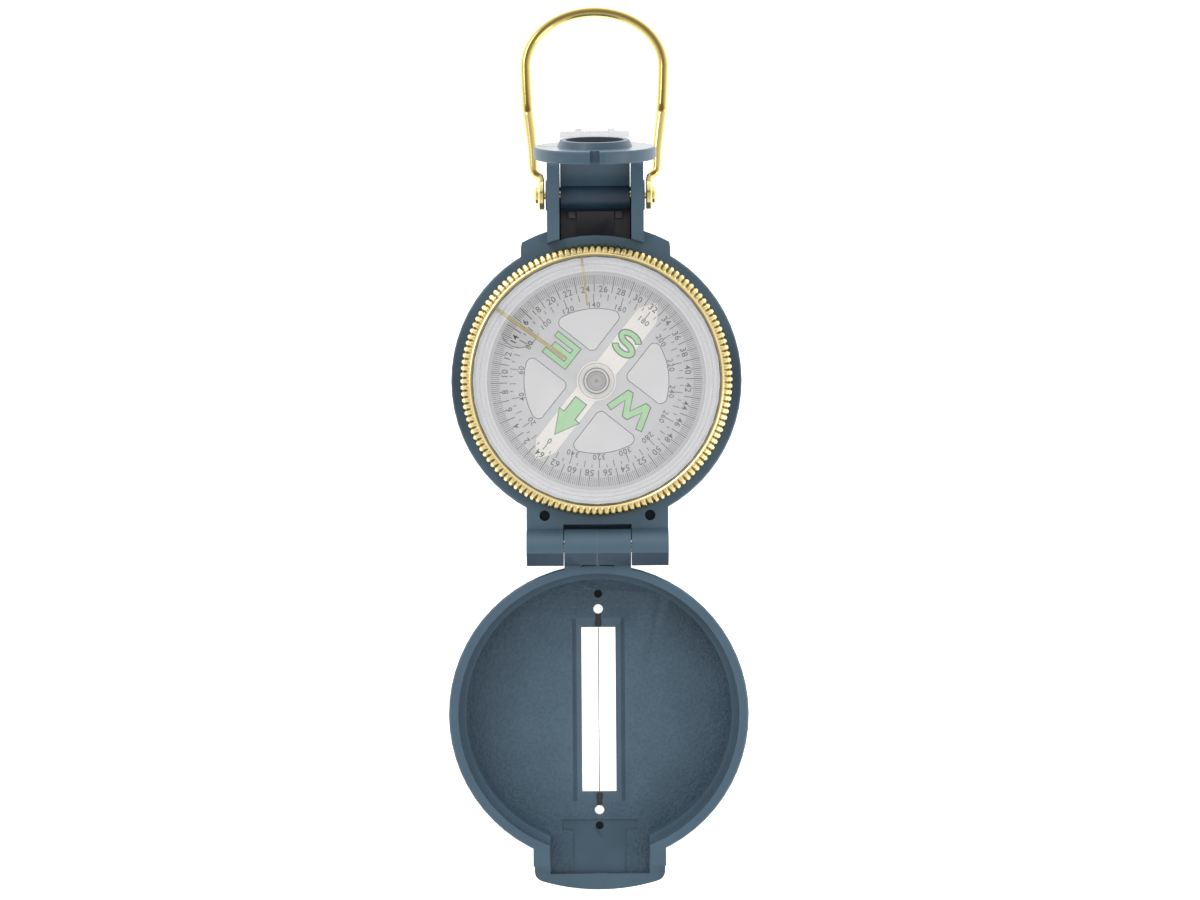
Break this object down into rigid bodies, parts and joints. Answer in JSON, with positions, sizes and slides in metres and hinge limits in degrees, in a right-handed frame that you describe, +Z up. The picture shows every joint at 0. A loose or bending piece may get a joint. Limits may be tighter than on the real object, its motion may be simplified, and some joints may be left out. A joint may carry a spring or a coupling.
{
  "type": "lensatic compass",
  "caption": "Folding lensatic compass with a hinged sighting cover, knurled turning bezel, swinging dial, folding eyepiece and wire bail.",
  "frame": {"origin": "on the dial's axis, on the flat underside of the case", "axes": "+Z up out of the dial, +Y from the dial towards the eyepiece and the bail, -Y towards the hinge and the open cover, +X to the right in the picture"},
  "size_m": [0.0572, 0.1712, 0.0391],
  "materials": {
    "blue_plastic": "satin",
    "black_plastic": "satin",
    "bezel_brass": "bright plated",
    "brass": "bright plated",
    "steel": "bright",
    "clear_plastic": "clear gloss",
    "capsule_white": "translucent",
    "seal_rubber": "matte",
    "dial_card": "printed",
    "magnet_white": "satin",
    "cap_grey": "satin",
    "jewel": "polished",
    "index_gold": "satin",
    "glow_paint": "matte"
  },
  "bodies": {
    "case": {"case_body": "blue_plastic", "rail_spring_insert": "black_plastic", "capsule_cup": "capsule_white", "capsule_lid": "clear_plastic", "capsule_seal": "seal_rubber", "dial_post": "steel", "cover_hinge_pin": "steel", "eyepiece_pin": "brass", "bezel_washer": "steel"},
    "cover": {"cover_body": "blue_plastic", "hair_wire": "steel", "wire_anchor_hinge_end": "black_plastic", "wire_anchor_tongue_end": "black_plastic", "glow_dot_hinge_end": "glow_paint", "glow_dot_tongue_end": "glow_paint"},
    "eyepiece": {"eyepiece_bracket": "blue_plastic", "eyepiece_lens": "clear_plastic", "eyepiece_clip": "clear_plastic"},
    "bail": {"bail": "brass"},
    "bezel": {"bezel_ring": "bezel_brass", "bezel_crystal": "clear_plastic", "index_line_long": "index_gold", "index_line_second": "index_gold"},
    "dial": {"dial_card": "dial_card", "dial_magnet": "magnet_white", "dial_cap": "cap_grey", "dial_jewel": "jewel"}
  },
  "joints": [
    {"name": "cover_hinge", "type": "hinge", "parent": "case", "child": "cover", "pos_m": [0, -0.0318, 0.0125], "axis": [-1, 0, 0], "range_deg": [0, 180]},
    {"name": "eyepiece_fold", "type": "hinge", "parent": "case", "child": "eyepiece", "pos_m": [0, 0.0357, 0.008], "axis": [1, 0, 0], "range_deg": [-11, 79]},
    {"name": "bail_swing", "type": "hinge", "parent": "case", "child": "bail", "pos_m": [0, 0.0357, 0.008], "axis": [1, 0, 0], "range_deg": [-100, 102]},
    {"name": "bezel_turn", "type": "hinge", "parent": "case", "child": "bezel", "pos_m": [0, 0, 0.0125], "axis": [0, 0, 1], "continuous": true},
    {"name": "dial_turn", "type": "hinge", "parent": "case", "child": "dial", "pos_m": [0, 0, 0.009], "axis": [0, 0, 1], "continuous": true}
  ]
}
